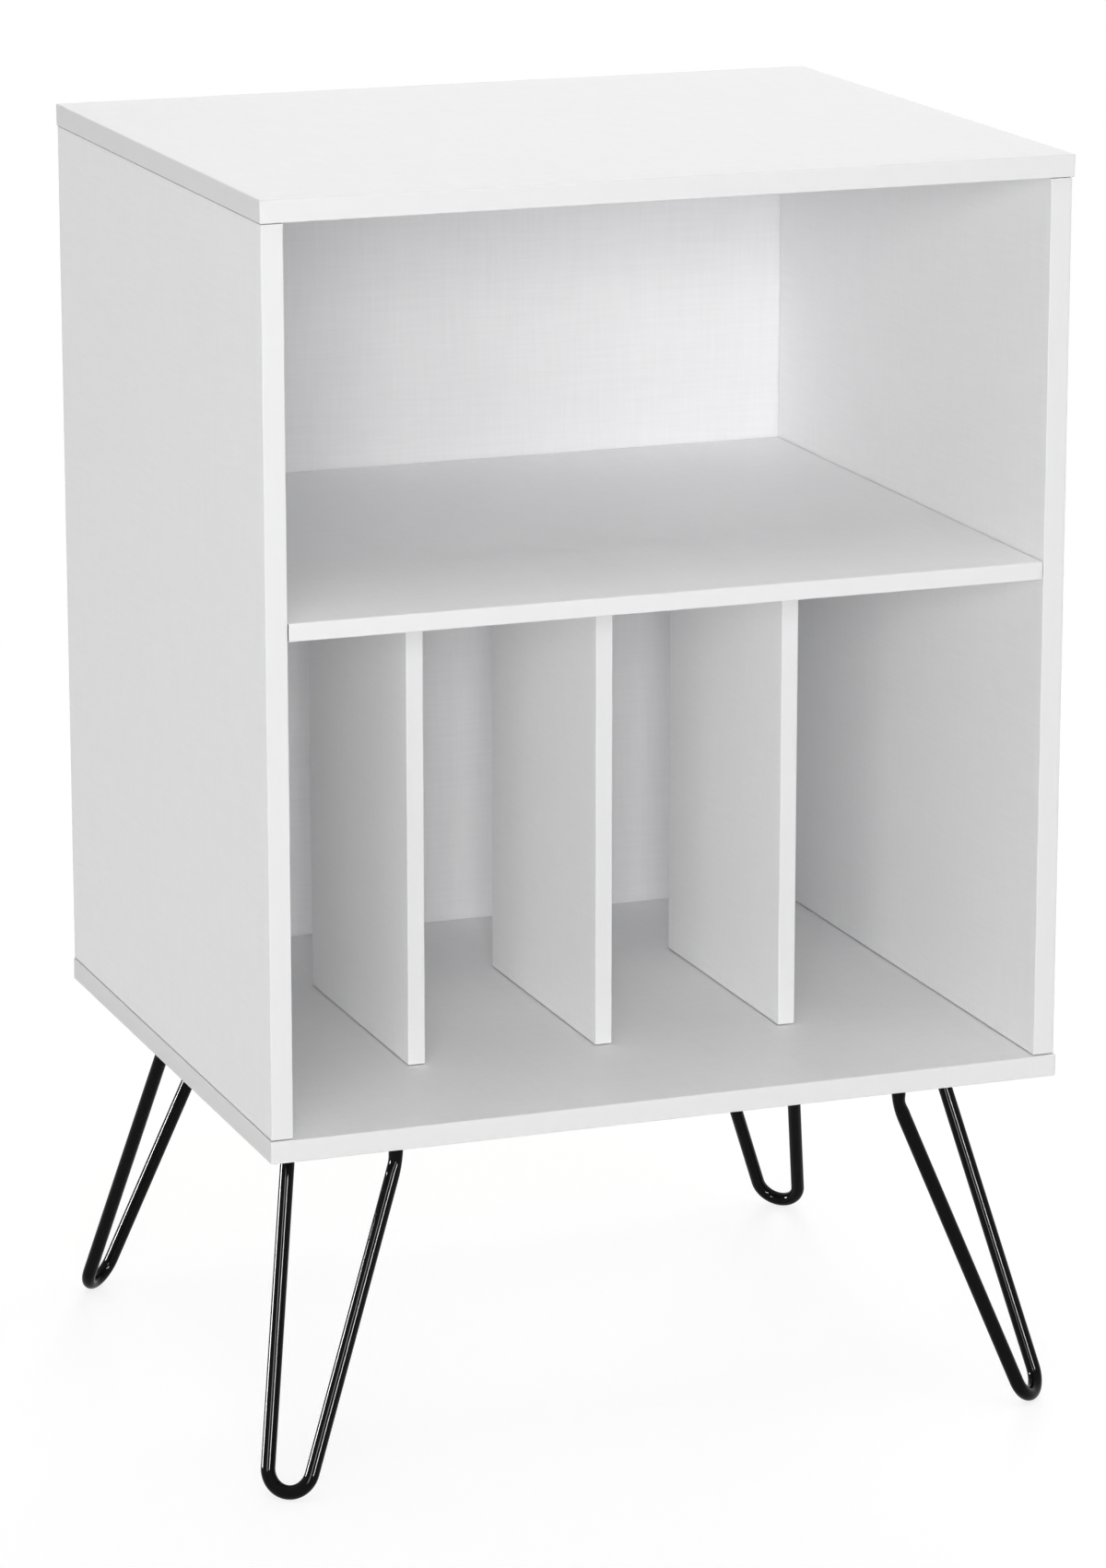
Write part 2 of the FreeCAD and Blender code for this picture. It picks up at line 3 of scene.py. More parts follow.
import bmesh
import bpy
from bpy.props import FloatProperty, FloatVectorProperty, IntProperty, PointerProperty
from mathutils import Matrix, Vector


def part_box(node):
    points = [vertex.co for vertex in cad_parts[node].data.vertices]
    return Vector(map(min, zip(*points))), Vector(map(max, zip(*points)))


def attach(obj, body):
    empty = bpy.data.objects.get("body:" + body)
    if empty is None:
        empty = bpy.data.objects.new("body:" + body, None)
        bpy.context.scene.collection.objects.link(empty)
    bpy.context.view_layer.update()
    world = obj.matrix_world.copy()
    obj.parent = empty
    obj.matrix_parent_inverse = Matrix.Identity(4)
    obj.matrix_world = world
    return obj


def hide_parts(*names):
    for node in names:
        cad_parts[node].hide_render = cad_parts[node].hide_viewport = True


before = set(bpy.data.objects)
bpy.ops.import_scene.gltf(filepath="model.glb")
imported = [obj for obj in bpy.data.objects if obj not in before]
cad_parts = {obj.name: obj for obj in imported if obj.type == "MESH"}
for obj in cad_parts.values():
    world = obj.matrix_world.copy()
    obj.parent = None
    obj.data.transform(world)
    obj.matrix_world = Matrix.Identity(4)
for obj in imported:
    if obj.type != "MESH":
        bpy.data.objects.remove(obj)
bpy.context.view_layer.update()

bl_info = {
    "name": "Record Player Stand",
    "version": (1, 0, 0),
    "blender": (4, 5, 0),
    "location": "View3D > Sidebar > Stand",
    "description": "Builds a white record player stand on black hairpin legs around its frame",
    "category": "Object",
}

# Metres, +Z up, front towards -Y, as in the frame
ACROSS = Vector((1, 0, 0))
REARWARD = Vector((0, 1, 0))
UP = Vector((0, 0, 1))
SIDES = {"left": -1, "right": 1}
ENDS = {"front": -1, "rear": 1}
DIVIDERS = ("left", "centre", "right")
BODY = "root"
FACING = 0.9           # a face or an edge points along an axis where their cosine is above this
FLAT = 0.999           # and lies square with it above this
MERGE = 1e-6           # points closer than this are one
BOARD_SMOOTH = 40      # degrees between faces that are shaded as one on a board
LEG_SMOOTH = 50        # and on a leg

# Levels that the frame gives
panel_low, panel_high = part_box("bottom_panel")
plate_low, plate_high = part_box("front_left_leg_plate")


# Settings that a user would change


def length(name, description, default):
    """A setting that is a length in metres."""
    return FloatProperty(name=name, description=description, default=default, precision=5, unit="LENGTH")


def colour(name, description, default):
    """A setting that is a colour."""
    return FloatVectorProperty(
        name=name, description=description, default=default, size=3, min=0, max=1, subtype="COLOR")


def power(name, description, default):
    """A setting that is a lamp's power in watts."""
    return FloatProperty(name=name, description=description, default=default, min=0, subtype="POWER")


class StandSizes(bpy.types.PropertyGroup):
    """Sizes of the pieces, where the frame alone doesn't give them."""

    easing: length("Easing", "Rounding of the banded edges of a board", 0.0008)
    arris: length("Arris", "Rounding of the other edges", 0.0005)
    sheet_arris: length("Sheet arris", "Rounding of the edges of the thin back sheet", 0.0003)
    band: length("Edge band", "Thickness of the band on a board's edge", 0.001)
    seam: length("Seam", "Dark hairline left where a board's end meets another board", 0.0007)
    bore_room: length("Bore room", "Room around a cam or screw head in its bore", 0.0002)
    leg_inset_x: length("Leg inset across", "Middle of a rod's two ends, in from the side edge", 0.0755)
    leg_inset_y: length("Leg inset along", "Middle of a rod's two ends, in from the front edge", 0.072)
    rod: length("Rod", "Diameter of the leg's round bar", 0.0104)
    rod_spacing: length("Rod spacing", "Between the two ends of a rod, at the plate", 0.085)
    splay: length("Splay", "How far the toe stands out towards the corner", 0.092)
    toe_radius: length("Toe radius", "Centre line of the bend on the floor", 0.0175)
    knee_radius: length("Knee radius", "Centre line of the bend under the plate", 0.06)
    knee_drop: length("Knee drop", "Cabinet's underside to where the knee's straights would meet", 0.0216)
    knee_mark: length("Knee mark", "Depth of the bender's mark on the inner side of the knee", 0.0012)
    knee_mark_reach: length("Knee mark reach", "From the middle of that mark to its rim", 0.0075)
    weld: length("Weld", "Bead around each end of a rod", 0.003)
    weld_ripple: length("Weld ripple", "Height of the ripples on a weld bead", 0.0005)
    plate_margin: length("Plate margin", "Plate around a weld or a screw head", 0.005)
    plate_corner: length("Plate corner", "Radius of the plate's corners", 0.008)
    plate_rim: length("Plate rim", "Rounding of the plate's rims", 0.0006)
    screw_head: length("Screw head", "Diameter of a leg screw's head", 0.009)
    inner_screws: length("Inner screws", "Between the plate's two inner screws", 0.022)
    screw_rows: length("Screw rows", "From the plate's outer screws to its inner ones", 0.034)
    rod_sides: IntProperty(name="Rod sides", description="Facets around a rod", default=48, min=12)


class StandFinishes(bpy.types.PropertyGroup):
    """Colours of the finishes."""

    laminate: colour("Laminate", "White laminate on the boards", (0.925, 0.925, 0.93))
    # the band is real plastic, but its colour, darker than the laminate's, is painted shade on the brightly
    # lit banded edges
    band: colour("Edge band", "Band on the boards' edges", (0.82, 0.82, 0.825))
    sheet: colour("Back sheet", "White face of the back sheet", (0.86, 0.86, 0.868))
    fibre: colour("Fibreboard", "Bare rear face of the back sheet", (0.44, 0.3, 0.18))
    chip: colour("Chipboard", "Bare core of the boards", (0.32, 0.22, 0.135))
    coat: colour("Coat", "Gloss black powder coat on the legs", (0.003, 0.003, 0.0033))
    zinc: colour("Zinc", "Bright zinc plate on screws, bolts and nails", (0.62, 0.63, 0.65))
    cast: colour("Cast zinc", "Dull cast zinc of the cams", (0.5, 0.5, 0.52))
    beech: colour("Beech", "Plain beech of the dowels", (0.62, 0.46, 0.3))


class StandStage(bpy.types.PropertyGroup):
    """Camera and light."""

    camera: FloatVectorProperty(
        name="Camera", description="Where the camera stands", default=(-1.501, -4.022, 1.541),
        subtype="TRANSLATION", unit="LENGTH")
    heading: FloatProperty(
        name="Heading", description="Camera's turn from straight ahead, towards the right",
        default=math.radians(20.49), subtype="ANGLE")
    pitch: FloatProperty(
        name="Pitch", description="Camera's tilt below the horizon",
        default=math.radians(14.44), subtype="ANGLE")
    lens: FloatProperty(name="Lens", description="Focal length in millimetres", default=137.9)
    daylight: FloatProperty(name="Room light", description="Light from all round", default=0.28)
    overhead: power("Overhead light", "Wide light above", 36)
    main: power("Main light", "Soft light behind the camera", 260)
    left_key: power("Left key", "Soft light left of the camera", 95)
    left_side: power("Left side light", "Soft light at the left side", 6)
    right_side: power("Right side light", "Soft light at the right side", 12)
    rear: power("Rear light", "Soft light behind, for the back", 80)
    shelf_fill: power("Shelf fill", "Soft light on the shelf alone", 10)
    divider_fill: power("Divider fill", "Soft light on the dividers alone", 19)
    right_sheen: power("Right sheen", "Light right of the camera, seen only in the boards' gloss", 440)
    left_sheen: power("Left sheen", "Light left of the camera, seen only in the boards' gloss", 150)
    side_sheen: power("Side sheen", "Light at the left side, seen only in the boards' gloss", 130)
    right_streak: power("Right streak", "Light right of the camera, seen only in the legs' gloss", 750)
    left_streak: power("Left streak", "Light left of the camera, seen only in the legs' gloss", 220)
    side_streak: power("Side streak", "Light at the left side, seen only in the legs' gloss", 325)


# Node helpers


def node(tree, kind, options=None, **inputs):
    """A new shader node with some of its options and input sockets set."""
    made = tree.nodes.new(kind)
    for name, value in (options or {}).items():
        setattr(made, name, value)
    for name, value in inputs.items():
        made.inputs[name].default_value = value
    return made


def put(tree, value, socket):
    """Sets a socket to a number, or links an output socket to it."""
    if isinstance(value, (int, float)):
        socket.default_value = value
    else:
        tree.links.new(value, socket)


def maths(tree, operation, first, second):
    """A maths node on two values, each an output socket or a number."""
    made = node(tree, "ShaderNodeMath", {"operation": operation})
    put(tree, first, made.inputs[0])
    put(tree, second, made.inputs[1])
    return made.outputs["Value"]


def new_group(name, inputs, outputs):
    """An empty node group with named sockets, and its input and output nodes."""
    group = bpy.data.node_groups.new(name, "ShaderNodeTree")
    for label, kind in inputs.items():
        group.interface.new_socket(name=label, in_out="INPUT", socket_type=kind)
    for label, kind in outputs.items():
        group.interface.new_socket(name=label, in_out="OUTPUT", socket_type=kind)
    return group, group.nodes.new("NodeGroupInput"), group.nodes.new("NodeGroupOutput")


def stretched_noise(tree, place, grains, detail):
    """Noise whose grains may be stretched along an axis; grains is how many lie in a metre each way."""
    scaled = node(tree, "ShaderNodeVectorMath", {"operation": "MULTIPLY"})
    tree.links.new(place, scaled.inputs[0])
    tree.links.new(grains, scaled.inputs[1])
    noise = node(tree, "ShaderNodeTexNoise", Scale=1)
    tree.links.new(scaled.outputs["Vector"], noise.inputs["Vector"])
    put(tree, detail, noise.inputs["Detail"])
    return noise.outputs["Fac"]


# Effects that several finishes share


def drift(group, start, detail):
    """A slow noise about zero, by a group's place, scale and amount."""
    noise = node(group, "ShaderNodeTexNoise", Detail=detail)
    group.links.new(start.outputs["Place"], noise.inputs["Vector"])
    group.links.new(start.outputs["Scale"], noise.inputs["Scale"])
    centred = maths(group, "SUBTRACT", noise.outputs["Fac"], 0.5)
    return maths(group, "MULTIPLY", centred, start.outputs["Amount"])


def tone_drift():
    """Slow change of a colour's brightness over a surface."""
    name = "Tone Drift"
    if name in bpy.data.node_groups:
        return bpy.data.node_groups[name]
    group, start, end = new_group(
        name,
        {"Place": "NodeSocketVector", "Colour": "NodeSocketColor", "Scale": "NodeSocketFloat",
         "Amount": "NodeSocketFloat"},
        {"Colour": "NodeSocketColor"})
    toned = node(group, "ShaderNodeHueSaturation")
    group.links.new(maths(group, "ADD", drift(group, start, 4), 1), toned.inputs["Value"])
    group.links.new(start.outputs["Colour"], toned.inputs["Color"])
    group.links.new(toned.outputs["Color"], end.inputs["Colour"])
    return group


def gloss_drift():
    """Slow change of roughness over a surface, as from wiping and handling."""
    name = "Gloss Drift"
    if name in bpy.data.node_groups:
        return bpy.data.node_groups[name]
    group, start, end = new_group(
        name,
        {"Place": "NodeSocketVector", "Roughness": "NodeSocketFloat", "Scale": "NodeSocketFloat",
         "Amount": "NodeSocketFloat"},
        {"Roughness": "NodeSocketFloat"})
    changed = maths(group, "ADD", drift(group, start, 5), start.outputs["Roughness"])
    group.links.new(changed, end.inputs["Roughness"])
    return group


def fine_grain():
    """Height of fine grains, stretched along an axis where they run."""
    name = "Fine Grain"
    if name in bpy.data.node_groups:
        return bpy.data.node_groups[name]
    group, start, end = new_group(
        name,
        {"Place": "NodeSocketVector", "Grains": "NodeSocketVector", "Detail": "NodeSocketFloat"},
        {"Height": "NodeSocketFloat"})
    given = start.outputs
    height = stretched_noise(group, given["Place"], given["Grains"], given["Detail"])
    group.links.new(height, end.inputs["Height"])
    return group


THREADS = 480          # laminate's threads in a metre
THREAD_RUNS = 24       # and lengths of thread in a metre
PAINTED_THREAD_SHADE = 0.05     # painted shade: how much a thread's height darkens or lightens the laminate's colour
THREAD_DEPTH = 0.00006  # and the depth of its relief
THREADS_ALONG = {
    "x": (THREAD_RUNS, THREADS, THREADS),
    "y": (THREADS, THREAD_RUNS, THREADS),
    "z": (THREADS, THREADS, THREAD_RUNS),
}


def linen_emboss():
    """The fine pressed texture of laminate: short threads along two directions in height, with painted
    shade that darkens the low threads and lightens the high ones.
    """
    name = "Linen Emboss"
    if name in bpy.data.node_groups:
        return bpy.data.node_groups[name]
    group, start, end = new_group(
        name,
        {"Place": "NodeSocketVector", "Colour": "NodeSocketColor", "Warp": "NodeSocketVector",
         "Weft": "NodeSocketVector"},
        {"Colour": "NodeSocketColor", "Height": "NodeSocketFloat"})
    warp = stretched_noise(group, start.outputs["Place"], start.outputs["Warp"], 1)
    weft = stretched_noise(group, start.outputs["Place"], start.outputs["Weft"], 1)
    height = maths(group, "ADD", warp, weft)
    # painted shade: the laminate's colour follows the threads' height, darker where they lie low
    shade = maths(group, "MULTIPLY", height, PAINTED_THREAD_SHADE)
    toned = node(group, "ShaderNodeHueSaturation")
    group.links.new(maths(group, "ADD", shade, 1 - PAINTED_THREAD_SHADE), toned.inputs["Value"])
    group.links.new(start.outputs["Colour"], toned.inputs["Color"])
    group.links.new(toned.outputs["Color"], end.inputs["Colour"])
    group.links.new(height, end.inputs["Height"])
    return group


# Finishes


def new_finish(name, base, roughness, tone, gloss, **shader):
    """A material in a colour of the stand; its drifts of tone and gloss are (grains in a metre, amount)."""
    tint = getattr(bpy.context.scene.stand_finishes, base)
    material = bpy.data.materials.new(name)
    material.use_nodes = True
    tree = material.node_tree
    principled = tree.nodes["Principled BSDF"]
    for label, value in shader.items():
        principled.inputs[label.replace("_", " ")].default_value = value
    place = node(tree, "ShaderNodeTexCoord").outputs["Object"]
    toned = node(tree, "ShaderNodeGroup", {"node_tree": tone_drift()},
                 Colour=(*tint, 1), Scale=tone[0], Amount=tone[1])
    tree.links.new(place, toned.inputs["Place"])
    tree.links.new(toned.outputs["Colour"], principled.inputs["Base Color"])
    rough = node(tree, "ShaderNodeGroup", {"node_tree": gloss_drift()},
                 Roughness=roughness, Scale=gloss[0], Amount=gloss[1])
    tree.links.new(place, rough.inputs["Place"])
    tree.links.new(rough.outputs["Roughness"], principled.inputs["Roughness"])
    return material, tree, place, principled


def relief(tree, principled, height, depth):
    """Bumps a finish by a height value, as deep as given in metres."""
    bump = node(tree, "ShaderNodeBump", Strength=1, Distance=depth)
    tree.links.new(height, bump.inputs["Height"])
    tree.links.new(bump.outputs["Normal"], principled.inputs["Normal"])


def embossed_finish(name, base, roughness, tone, gloss, warp, weft, **shader):
    """A finish with a laminate's threads pressed in along two axes, made once."""
    if name in bpy.data.materials:
        return bpy.data.materials[name]
    material, tree, place, principled = new_finish(name, base, roughness, tone, gloss, **shader)
    emboss = node(tree, "ShaderNodeGroup", {"node_tree": linen_emboss()},
                  Warp=THREADS_ALONG[warp], Weft=THREADS_ALONG[weft])
    tree.links.new(place, emboss.inputs["Place"])
    tree.links.new(principled.inputs["Base Color"].links[0].from_socket, emboss.inputs["Colour"])
    tree.links.new(emboss.outputs["Colour"], principled.inputs["Base Color"])
    relief(tree, principled, emboss.outputs["Height"], THREAD_DEPTH)
    return material


def grained_finish(name, base, roughness, tone, gloss, grains, detail, depth, **shader):
    """A finish with a relief of fine grains, made once; grains is how many lie in a metre each way."""
    if name in bpy.data.materials:
        return bpy.data.materials[name]
    material, tree, place, principled = new_finish(name, base, roughness, tone, gloss, **shader)
    grain = node(tree, "ShaderNodeGroup", {"node_tree": fine_grain()}, Grains=grains, Detail=detail)
    tree.links.new(place, grain.inputs["Place"])
    relief(tree, principled, grain.outputs["Height"], depth)
    return material


def laminate(warp, weft):
    """White laminate whose threads run along two axes of the board."""
    return embossed_finish(
        "laminate_" + warp + weft, "laminate", roughness=0.35, tone=(3, 0.02), gloss=(14, 0.08),
        warp=warp, weft=weft, Specular_IOR_Level=0.12)


def sheet_face():
    """White paper face of the back sheet."""
    return embossed_finish(
        "sheet_face", "sheet", roughness=0.5, tone=(3, 0.02), gloss=(14, 0.1),
        warp="z", weft="x", Specular_IOR_Level=0.03)


def edge_band():
    """Smooth plastic band on a board's edge; its colour, darker than the laminate's, is painted shade on
    the banded edges.
    """
    return grained_finish(
        "edge_band", "band", roughness=0.45, tone=(5, 0.015), gloss=(30, 0.1),
        grains=(220, 220, 220), detail=2, depth=0.00004, Specular_IOR_Level=0.09)


def chipboard():
    """Bare particle board, speckled with chips."""
    return grained_finish(
        "chipboard", "chip", roughness=0.85, tone=(700, 0.9), gloss=(300, 0.1),
        grains=(500, 700, 700), detail=3, depth=0.0004)


def fibreboard():
    """Bare pressed fibre, with short fibres and soft blotches."""
    return grained_finish(
        "fibreboard", "fibre", roughness=0.72, tone=(40, 0.35), gloss=(60, 0.12),
        grains=(500, 500, 160), detail=4, depth=0.00015)


def black_coat():
    """Gloss black powder coat with a fine orange peel."""
    return grained_finish(
        "gloss_black_coat", "coat", roughness=0.03, tone=(60, 0.2),
        gloss=(90, 0.02), grains=(420, 420, 420), detail=1, depth=0.00001, Specular_IOR_Level=0.07)


def zinc_plate():
    """Bright zinc plate with fine tumbling marks."""
    return grained_finish(
        "bright_zinc_plate", "zinc", roughness=0.3, tone=(400, 0.2),
        gloss=(900, 0.2), grains=(2500, 2500, 700), detail=2, depth=0.00002, Metallic=1)


def cast_zinc():
    """Dull cast zinc with a grainy skin."""
    return grained_finish(
        "dull_cast_zinc", "cast", roughness=0.48, tone=(300, 0.2),
        gloss=(500, 0.15), grains=(1500, 1500, 1500), detail=3, depth=0.00006, Metallic=1)


def beech():
    """Plain beech with short flecks."""
    return grained_finish(
        "plain_beech", "beech", roughness=0.6, tone=(250, 0.25), gloss=(200, 0.1),
        grains=(1200, 1200, 200), detail=3, depth=0.0001)


# Modelling helpers


def select_only(*pieces):
    """Selects these objects alone, with the first one active."""
    bpy.ops.object.select_all(action="DESELECT")
    for piece in pieces:
        piece.select_set(True)
    bpy.context.view_layer.objects.active = pieces[0]


def pick(kind, test):
    """In edit mode, selects only the vertices, edges or faces that pass a test."""
    bpy.ops.mesh.select_mode(type=kind)
    bpy.ops.mesh.select_all(action="DESELECT")
    mesh = bpy.context.object.data
    shape = bmesh.from_edit_mesh(mesh)
    for element in {"VERT": shape.verts, "EDGE": shape.edges, "FACE": shape.faces}[kind]:
        element.select_set(bool(test(element)))
    shape.select_flush_mode()
    bmesh.update_edit_mesh(mesh)


def apply_modifier(piece, kind, **settings):
    """Adds a modifier to a piece and applies it."""
    select_only(piece)
    modifier = piece.modifiers.new(kind.title(), kind)
    for name, value in settings.items():
        setattr(modifier, name, value)
    bpy.ops.object.modifier_apply(modifier=modifier.name)


def smooth(piece, angle):
    """Shades a piece smooth up to an angle, its broad faces flat."""
    select_only(piece)
    bpy.ops.object.shade_smooth_by_angle(angle=math.radians(angle))
    apply_modifier(piece, "WEIGHTED_NORMAL", keep_sharp=True)


def settle(piece, slot_name, *nodes):
    """Rides a finished piece on the stand in place of its frame nodes."""
    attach(piece, BODY)
    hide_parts(*nodes)


def box_of(piece):
    """The lowest and highest corners of a piece."""
    points = [vertex.co for vertex in piece.data.vertices]
    return Vector(map(min, *points)), Vector(map(max, *points))


def copy_of(pattern, name, place, turn=0):
    """A copy of a pattern with a mesh of its own, moved and turned into its place."""
    select_only(pattern)
    bpy.ops.object.duplicate()
    piece = bpy.context.object
    piece.name = name
    piece.location = place
    piece.rotation_euler = (0, 0, turn)
    bpy.ops.object.transform_apply(location=True, rotation=True, scale=True)
    return piece


def solids(node_name):
    """The (low, high) corners of each separate solid in a frame node."""
    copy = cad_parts[node_name].copy()
    copy.data = copy.data.copy()
    bpy.context.scene.collection.objects.link(copy)
    select_only(copy)
    bpy.ops.object.mode_set(mode="EDIT")
    bpy.ops.mesh.select_all(action="SELECT")
    bpy.ops.mesh.remove_doubles(threshold=MERGE)
    bpy.ops.mesh.separate(type="LOOSE")
    bpy.ops.object.mode_set(mode="OBJECT")
    boxes = [box_of(loose) for loose in bpy.context.selected_objects]
    bpy.ops.object.delete()
    return boxes


# Boards

EASING_SEGMENTS = 3    # across each rounded edge
BORE_FACETS = 48       # around each bore


def is_banded(edge, thickness, banded):
    """Whether an edge lies between a banded side of a board and another banded or broad side."""
    facings = [face.normal for face in edge.link_faces]
    on_band = [any(facing.dot(side) > FACING for side in banded) for facing in facings]
    on_broad = [abs(facing.dot(thickness)) > FACING for facing in facings]
    return any(on_band) and all(band or broad for band, broad in zip(on_band, on_broad))


def is_bare_end(face, thickness, banded):
    """Whether a face is the flat end of a board, neither broad nor banded."""
    covered = any(face.normal.dot(side) > FACING for side in (thickness, -thickness, *banded))
    return max(map(abs, face.normal)) > FLAT and not covered


def thin_axis(size):
    """The axis along which a board is thinnest."""
    return min((ACROSS, REARWARD, UP), key=lambda axis: abs(axis.dot(size)))


def blank(name, low, high):
    """A plain block between two corners, with its place in its mesh."""
    bpy.ops.object.select_all(action="DESELECT")
    bpy.ops.mesh.primitive_cube_add(size=1, location=(low + high) / 2, scale=high - low)
    bpy.ops.object.transform_apply(location=True, rotation=True, scale=True)
    piece = bpy.context.object
    piece.name = name
    return piece


def ease(piece, width, share, chosen):
    """Rounds the chosen edges by a width, and all others by a share of it."""
    bpy.ops.object.mode_set(mode="EDIT")
    pick("EDGE", lambda edge: True)
    bpy.ops.transform.edge_bevelweight(value=share)
    pick("EDGE", chosen)
    bpy.ops.transform.edge_bevelweight(value=1)
    bpy.ops.object.mode_set(mode="OBJECT")
    apply_modifier(piece, "BEVEL", width=width, segments=EASING_SEGMENTS, limit_method="WEIGHT")


def paint(piece, material, chosen):
    """Gives the chosen faces of a piece a material of their own."""
    select_only(piece)
    piece.data.materials.append(material)
    piece.active_material_index = len(piece.data.materials) - 1
    bpy.ops.object.mode_set(mode="EDIT")
    pick("FACE", chosen)
    bpy.ops.object.material_slot_assign()
    bpy.ops.object.mode_set(mode="OBJECT")


def bore(piece, node_name, axis, face_level):
    """Bores a board for each round fastener of a node, from the board's face at a level along an axis."""
    room = bpy.context.scene.stand_sizes.bore_room
    for low, high in solids(node_name):
        middle, size = (low + high) / 2, high - low
        if not low.dot(axis) - room <= face_level <= high.dot(axis) + room:
            continue
        across = max(component for component, way in zip(size, axis) if not way)
        depth = abs(size.dot(axis)) + room
        bpy.ops.object.select_all(action="DESELECT")
        bpy.ops.mesh.primitive_cylinder_add(
            vertices=BORE_FACETS, radius=across / 2 + room, depth=2 * depth,
            location=middle + axis * (face_level - middle.dot(axis)),
            rotation=axis.to_track_quat("Z", "Y").to_euler())
        cutter = bpy.context.object
        cutter.data.materials.append(chipboard())
        apply_modifier(piece, "BOOLEAN", operation="DIFFERENCE", object=cutter, solver="EXACT",
                       material_mode="TRANSFER")
        bpy.data.objects.remove(cutter)


def board(name, node_name, surface, banded):
    """A laminated board in place of a frame node, banded on the sides that face the given ways."""
    sizes = bpy.context.scene.stand_sizes
    low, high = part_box(node_name)
    thickness = thin_axis(high - low)
    for axis in (ACROSS, REARWARD, UP):
        if axis != thickness and -axis not in banded:
            low += axis * sizes.seam
        if axis != thickness and axis not in banded:
            high -= axis * sizes.seam
    piece = blank(name, low, high)
    ease(piece, sizes.easing, sizes.arris / sizes.easing, lambda edge: is_banded(edge, thickness, banded))
    piece.data.materials.append(surface)
    bands = [(side, max(low.dot(side), high.dot(side)) - sizes.band) for side in banded]
    for side, level in bands:
        select_only(piece)
        bpy.ops.object.mode_set(mode="EDIT")
        bpy.ops.mesh.select_all(action="SELECT")
        bpy.ops.mesh.bisect(plane_co=side * level, plane_no=side)
        bpy.ops.object.mode_set(mode="OBJECT")
    paint(piece, edge_band(), lambda face: any(
        face.calc_center_median().dot(side) > level for side, level in bands))
    paint(piece, chipboard(), lambda face: is_bare_end(face, thickness, banded))
    return piece


class STAND_OT_panels(bpy.types.Operator):
    """Builds the top and bottom boards, banded in front and at both sides"""

    bl_idname = "stand.panels"
    bl_label = "Top and Bottom Boards"

    def execute(self, context):
        banded = (-REARWARD, ACROSS, -ACROSS)
        for name in ("top", "bottom"):
            piece = board(name + "_board", name + "_panel", laminate("x", "y"), banded)
            if name == "bottom":
                bore(piece, "side_screws", UP, panel_low.z)
                bore(piece, "divider_screws", UP, panel_low.z)
            smooth(piece, BOARD_SMOOTH)
            settle(piece, "white_laminate", name + "_panel")
        return {"FINISHED"}


class STAND_OT_sides(bpy.types.Operator):
    """Builds the two side boards, bored inside for the cams that hold the top"""

    bl_idname = "stand.sides"
    bl_label = "Side Boards"

    def execute(self, context):
        for name, side in SIDES.items():
            node_name = name + "_side_panel"
            piece = board(name + "_side_board", node_name, laminate("z", "y"), (-REARWARD,))
            low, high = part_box(node_name)
            inner_face = min(abs(low.x), abs(high.x)) * side
            bore(piece, "top_cam_locks", ACROSS, inner_face)
            smooth(piece, BOARD_SMOOTH)
            settle(piece, "white_laminate", node_name)
        return {"FINISHED"}


class STAND_OT_shelf(bpy.types.Operator):
    """Builds the fixed shelf, bored underneath for its cams"""

    bl_idname = "stand.shelf"
    bl_label = "Shelf"

    def execute(self, context):
        piece = board("shelf_board", "shelf", laminate("x", "y"), (-REARWARD,))
        bore(piece, "shelf_cam_locks", UP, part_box("shelf")[0].z)
        smooth(piece, BOARD_SMOOTH)
        settle(piece, "white_laminate", "shelf")
        return {"FINISHED"}


class STAND_OT_dividers(bpy.types.Operator):
    """Builds the three upright dividers, banded in front and behind"""

    bl_idname = "stand.dividers"
    bl_label = "Dividers"

    def execute(self, context):
        first = DIVIDERS[0] + "_divider"
        pattern = board("divider_pattern", first, laminate("z", "y"), (-REARWARD, REARWARD))
        smooth(pattern, BOARD_SMOOTH)
        for name in DIVIDERS:
            node_name = name + "_divider"
            piece = copy_of(pattern, node_name + "_board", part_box(node_name)[0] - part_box(first)[0])
            settle(piece, "white_laminate", node_name)
        bpy.data.objects.remove(pattern)
        return {"FINISHED"}


class STAND_OT_back(bpy.types.Operator):
    """Builds the thin back sheet, white inside and bare fibre behind"""

    bl_idname = "stand.back"
    bl_label = "Back Sheet"

    def execute(self, context):
        width = context.scene.stand_sizes.sheet_arris
        piece = blank("back_sheet", *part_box("back_panel"))
        ease(piece, width, 1, lambda edge: True)
        piece.data.materials.append(sheet_face())
        paint(piece, fibreboard(), lambda face: face.normal.dot(REARWARD) > -FACING)
        smooth(piece, BOARD_SMOOTH)
        settle(piece, "back_board", "back_panel")
        return {"FINISHED"}


# Legs, modelled with +X towards the cabinet's corner, +Y across and the floor at zero height

KNEE_STEPS = 10        # rings around a knee
TOE_STEPS = 20         # and around half of a toe
MARK_TIP = 0.2         # share of a knee mark's reach that is pressed in fully
WELD_STEPS = ((0.3, 0.8), (0.35, 0.35), (0.35, 0))  # shares of a bead, down it and out from the rod
RIPPLE_ROOM = 0.1      # share of a bead at each end that stays without ripples
RIPPLE_FACETS = 4      # facets of the rod to each ripple of a weld
MIRROR_MERGE = 1e-5    # points closer than this are one where the two halves of a rod meet
CORNER_SEGMENTS = 8    # around each corner of a plate
RIM_SEGMENTS = 2       # and across its rims
RIM_ANGLE = 60         # degrees from which an edge of a plate is a rim
IN_PLANE = 1           # degrees up to which faces of a plate are one
STRAY = 0.001          # how far a leg's piece may stray from its frame node


